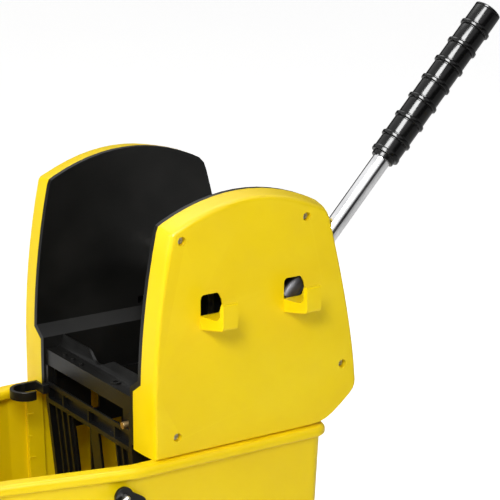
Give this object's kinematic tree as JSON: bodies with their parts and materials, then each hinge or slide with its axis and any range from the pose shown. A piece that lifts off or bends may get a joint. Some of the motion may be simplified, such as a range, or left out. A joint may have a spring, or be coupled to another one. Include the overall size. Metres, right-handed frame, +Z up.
{
  "type": "mop bucket with wringer",
  "caption": "Wheeled mop bucket with a lift-off side-press wringer, whose long lever turns gear sectors that drive a press plate.",
  "frame": {"origin": "on the floor, under the centre of the whole object's bounding box", "axes": "+X from the pouring end to the wringer end, +Y to the far side, away from the lever, +Z up"},
  "size_m": [0.845, 0.46, 0.9516],
  "materials": {
    "yellow_plastic": "moulded, slightly glossy",
    "black_plastic": "moulded, fine satin",
    "grip_plastic": "glossy",
    "chrome": "polished",
    "steel": "zinc plated",
    "gear_iron": "blackened",
    "bronze": "plain",
    "wheel_plastic": "moulded",
    "tread_rubber": "matt"
  },
  "bodies": {
    "bucket": {"bucket": "yellow_plastic", "caster_plates": "steel", "bail_ears": "black_plastic"},
    "bail": {"bail_wire": "steel", "bail_grip": "grip_plastic"},
    "wringer": {"cover_near": "yellow_plastic", "cover_far": "yellow_plastic", "panel_near": "black_plastic", "panel_far": "black_plastic", "cover_screws": "steel", "housing_straps": "steel", "splash_ledge": "black_plastic", "front_grille": "black_plastic", "grille_screws": "bronze", "basket": "black_plastic", "back_grille": "black_plastic", "mop_hook": "black_plastic", "shaft_bushes": "bronze", "rack_guides": "black_plastic"},
    "lever": {"cross_shaft": "steel", "sector_near": "gear_iron", "sector_far": "gear_iron", "lever_tube": "chrome", "lever_pin": "steel", "lever_grip": "grip_plastic", "grip_cap": "grip_plastic"},
    "press": {"press_plate": "black_plastic", "rack_near": "steel", "rack_far": "steel"},
    "swivel_1": {"fork_1": "steel", "axle_1": "steel"},
    "wheel_1": {"hub_1": "wheel_plastic", "tread_1": "tread_rubber"},
    "swivel_2": {"fork_2": "steel", "axle_2": "steel"},
    "wheel_2": {"hub_2": "wheel_plastic", "tread_2": "tread_rubber"},
    "swivel_3": {"fork_3": "steel", "axle_3": "steel"},
    "wheel_3": {"hub_3": "wheel_plastic", "tread_3": "tread_rubber"},
    "swivel_4": {"fork_4": "steel", "axle_4": "steel"},
    "wheel_4": {"hub_4": "wheel_plastic", "tread_4": "tread_rubber"}
  },
  "joints": [
    {"name": "wringer_lift", "type": "slide", "parent": "bucket", "child": "wringer", "axis": [0, 0, 1], "range_m": [0, 0.25]},
    {"name": "lever_swing", "type": "hinge", "parent": "wringer", "child": "lever", "pos_m": [0.06882, 0, 0.578], "axis": [0, 1, 0], "range_deg": [0, 75], "stiffness_Nm_per_rad": 3, "springref_deg": -68.75},
    {"name": "press_slide", "type": "slide", "parent": "wringer", "child": "press", "axis": [-1, 0, 0], "range_m": [0, 0.079]},
    {"name": "bail_swing", "type": "hinge", "parent": "bucket", "child": "bail", "pos_m": [-0.18918, 0, 0.367], "axis": [0, 1, 0], "range_deg": [0, 120]},
    {"name": "swivel_1_turn", "type": "hinge", "parent": "bucket", "child": "swivel_1", "pos_m": [0.07482, -0.122, 0.1], "axis": [0, 0, 1], "continuous": true},
    {"name": "wheel_1_spin", "type": "hinge", "parent": "swivel_1", "child": "wheel_1", "pos_m": [0.09682, -0.122, 0.038], "axis": [0, 1, 0], "continuous": true},
    {"name": "swivel_2_turn", "type": "hinge", "parent": "bucket", "child": "swivel_2", "pos_m": [0.07482, 0.122, 0.1], "axis": [0, 0, 1], "continuous": true},
    {"name": "wheel_2_spin", "type": "hinge", "parent": "swivel_2", "child": "wheel_2", "pos_m": [0.09682, 0.122, 0.038], "axis": [0, 1, 0], "continuous": true},
    {"name": "swivel_3_turn", "type": "hinge", "parent": "bucket", "child": "swivel_3", "pos_m": [-0.29818, -0.094, 0.1], "axis": [0, 0, 1], "continuous": true},
    {"name": "wheel_3_spin", "type": "hinge", "parent": "swivel_3", "child": "wheel_3", "pos_m": [-0.27618, -0.094, 0.038], "axis": [0, 1, 0], "continuous": true},
    {"name": "swivel_4_turn", "type": "hinge", "parent": "bucket", "child": "swivel_4", "pos_m": [-0.29818, 0.094, 0.1], "axis": [0, 0, 1], "continuous": true},
    {"name": "wheel_4_spin", "type": "hinge", "parent": "swivel_4", "child": "wheel_4", "pos_m": [-0.27618, 0.094, 0.038], "axis": [0, 1, 0], "continuous": true}
  ],
  "couplings": [
    {"joint": "press_slide", "follows": "lever_swing", "m_per_rad": 0.06}
  ]
}
